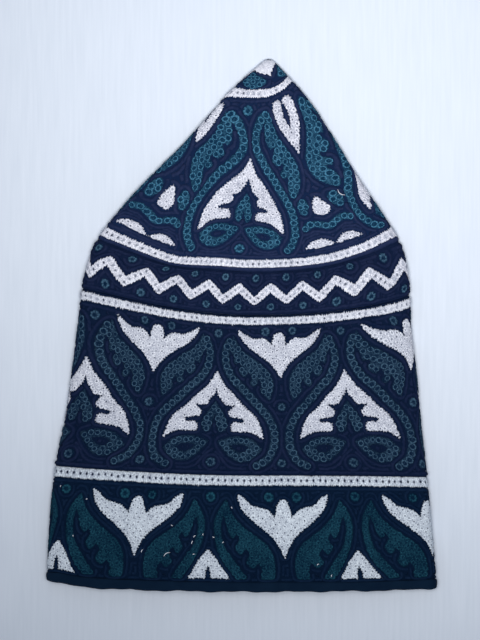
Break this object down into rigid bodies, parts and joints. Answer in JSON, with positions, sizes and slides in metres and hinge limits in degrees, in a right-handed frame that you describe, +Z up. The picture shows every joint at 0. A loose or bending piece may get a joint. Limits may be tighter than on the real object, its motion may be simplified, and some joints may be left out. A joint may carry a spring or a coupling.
{
  "type": "prayer cap",
  "caption": "Tall pointed prayer cap of thick embroidered cloth, folded flat and lying on its back, with its head opening towards the viewer.",
  "frame": {"origin": "middle of the footprint of the flat cap, on the surface that it lies on", "axes": "+Z up from the surface, +Y from the head opening to the point, +X to the right of a viewer who faces the opening"},
  "size_m": [0.2654, 0.3623, 0.0259],
  "materials": {
    "crown_cloth": "dark navy cotton covered in teal and white eyelet stitches",
    "band_cloth": "dark navy cotton with white stitched rows and a white zigzag",
    "wall_cloth": "dark navy cotton covered in teal and white eyelet stitches",
    "lower_cloth": "dark navy cotton covered in green teal and white eyelet stitches",
    "binding_cloth": "plain dark navy cotton strip, folded over the edge and sewn"
  },
  "bodies": {
    "root": {"crown": "crown_cloth", "zigzag_band": "band_cloth", "side_wall": "wall_cloth", "lower_band": "lower_cloth", "edge_binding": "binding_cloth"}
  },
  "joints": []
}
